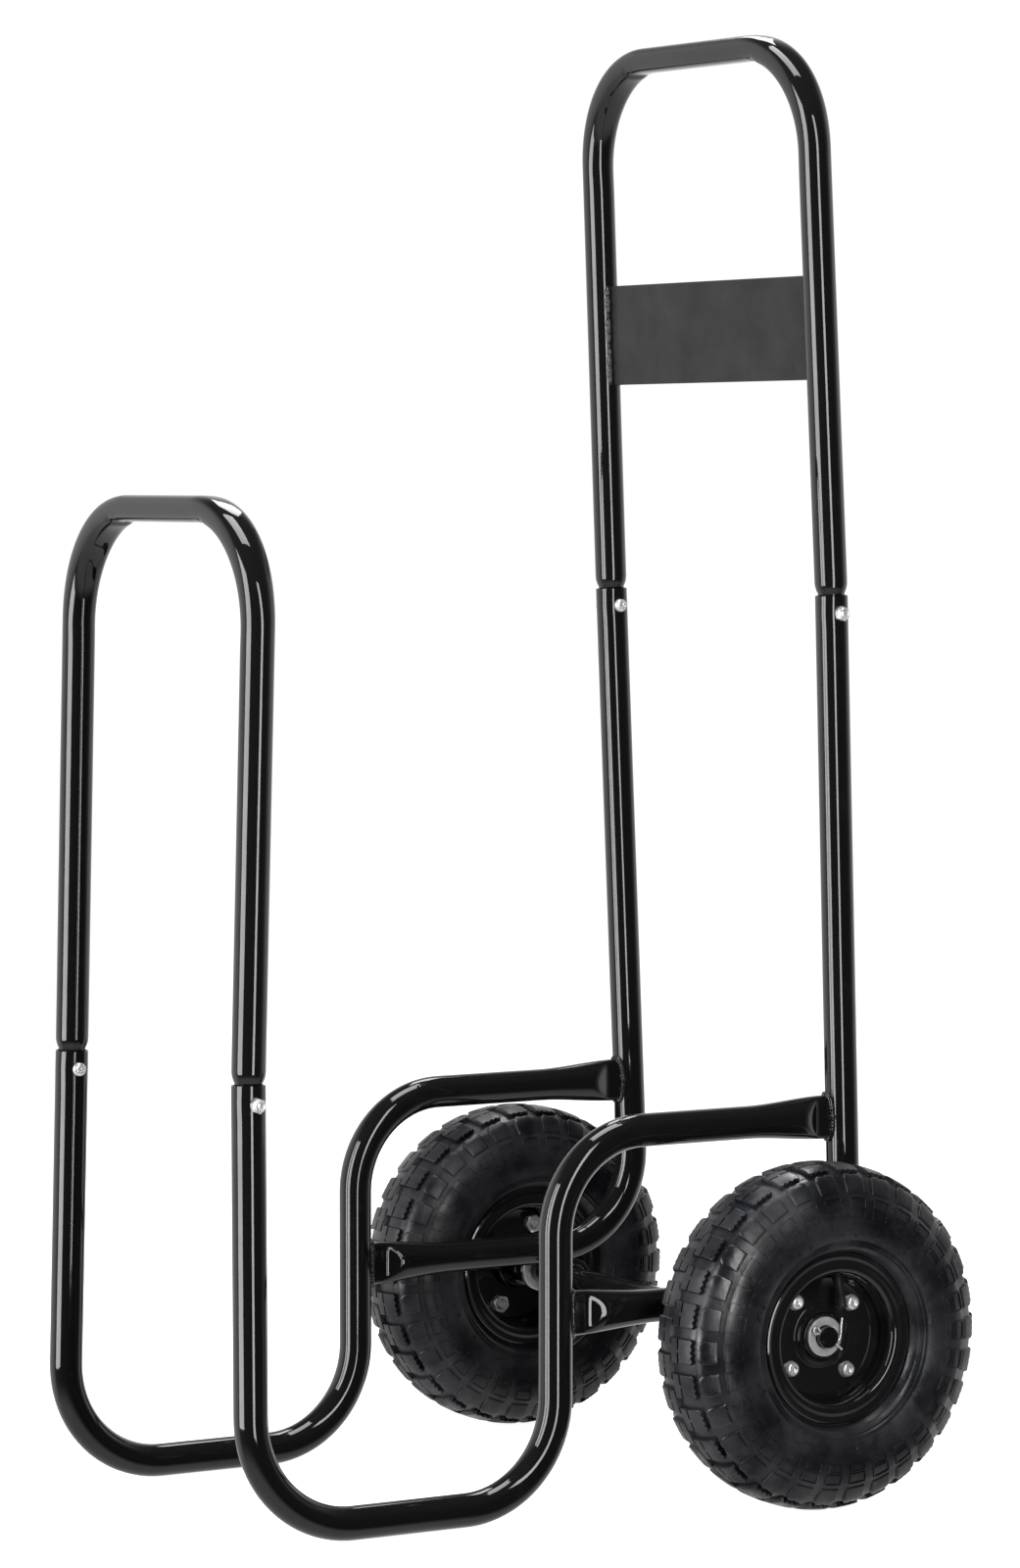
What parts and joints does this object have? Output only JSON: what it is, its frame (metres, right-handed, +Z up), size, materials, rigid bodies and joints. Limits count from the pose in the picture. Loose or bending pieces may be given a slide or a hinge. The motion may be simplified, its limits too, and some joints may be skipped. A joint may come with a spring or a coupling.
{
  "type": "firewood cart",
  "caption": "Two-wheeled firewood cart: bent side tubes form an open U cradle, with a front hoop, a tall push handle hoop and pneumatic wheels on a fixed axle.",
  "frame": {"origin": "centre of the bounding box's underside, on the floor between the side frames", "axes": "+X towards the left wheel (the left hand of a person behind the handle), +Y from the front hoop towards the push handle, +Z up"},
  "size_m": [0.521, 0.5845, 1.1077],
  "materials": {
    "frame_paint": "gloss black powder coat",
    "wheel_paint": "gloss black paint on pressed steel",
    "tyre_rubber": "matt black moulded rubber",
    "inner_tube_rubber": "matt black",
    "valve_rubber": "matt black",
    "zinc_plate": "bright zinc plated",
    "bearing_steel": "ground steel"
  },
  "bodies": {
    "frame": {"axle": "frame_paint", "axle_collar_left": "frame_paint", "axle_collar_right": "frame_paint", "axle_spacer_left": "frame_paint", "axle_spacer_right": "frame_paint", "cradle_tube_left": "frame_paint", "cradle_tube_right": "frame_paint", "front_hoop": "frame_paint", "handle_hoop": "frame_paint", "handle_plate": "frame_paint", "inner_washer_left": "zinc_plate", "inner_washer_right": "zinc_plate", "joint_bolt_front_left": "zinc_plate", "joint_bolt_front_right": "zinc_plate", "joint_bolt_handle_left": "zinc_plate", "joint_bolt_handle_right": "zinc_plate", "joint_nut_front_left": "zinc_plate", "joint_nut_front_right": "zinc_plate", "joint_nut_handle_left": "zinc_plate", "joint_nut_handle_right": "zinc_plate", "lower_handle_tube_left": "frame_paint", "lower_handle_tube_right": "frame_paint", "outer_washer_left": "zinc_plate", "outer_washer_right": "zinc_plate", "split_pin_left": "zinc_plate", "split_pin_right": "zinc_plate"},
    "wheel_left": {"bearing_inner_left": "bearing_steel", "bearing_outer_left": "bearing_steel", "hub_left": "wheel_paint", "inner_tube_left": "inner_tube_rubber", "rim_inner_left": "wheel_paint", "rim_outer_left": "wheel_paint", "tyre_left": "tyre_rubber", "valve_stem_left": "valve_rubber", "wheel_bolt_left_1": "zinc_plate", "wheel_bolt_left_2": "zinc_plate", "wheel_bolt_left_3": "zinc_plate", "wheel_bolt_left_4": "zinc_plate", "wheel_nut_left_1": "zinc_plate", "wheel_nut_left_2": "zinc_plate", "wheel_nut_left_3": "zinc_plate", "wheel_nut_left_4": "zinc_plate"},
    "wheel_right": {"bearing_inner_right": "bearing_steel", "bearing_outer_right": "bearing_steel", "hub_right": "wheel_paint", "inner_tube_right": "inner_tube_rubber", "rim_inner_right": "wheel_paint", "rim_outer_right": "wheel_paint", "tyre_right": "tyre_rubber", "valve_stem_right": "valve_rubber", "wheel_bolt_right_1": "zinc_plate", "wheel_bolt_right_2": "zinc_plate", "wheel_bolt_right_3": "zinc_plate", "wheel_bolt_right_4": "zinc_plate", "wheel_nut_right_1": "zinc_plate", "wheel_nut_right_2": "zinc_plate", "wheel_nut_right_3": "zinc_plate", "wheel_nut_right_4": "zinc_plate"}
  },
  "joints": [
    {"name": "wheel_left_spin", "type": "hinge", "parent": "frame", "child": "wheel_left", "pos_m": [0.2195, 0.1621, 0.13], "axis": [1, 0, 0], "continuous": true},
    {"name": "wheel_right_spin", "type": "hinge", "parent": "frame", "child": "wheel_right", "pos_m": [-0.2195, 0.1621, 0.13], "axis": [1, 0, 0], "continuous": true}
  ]
}
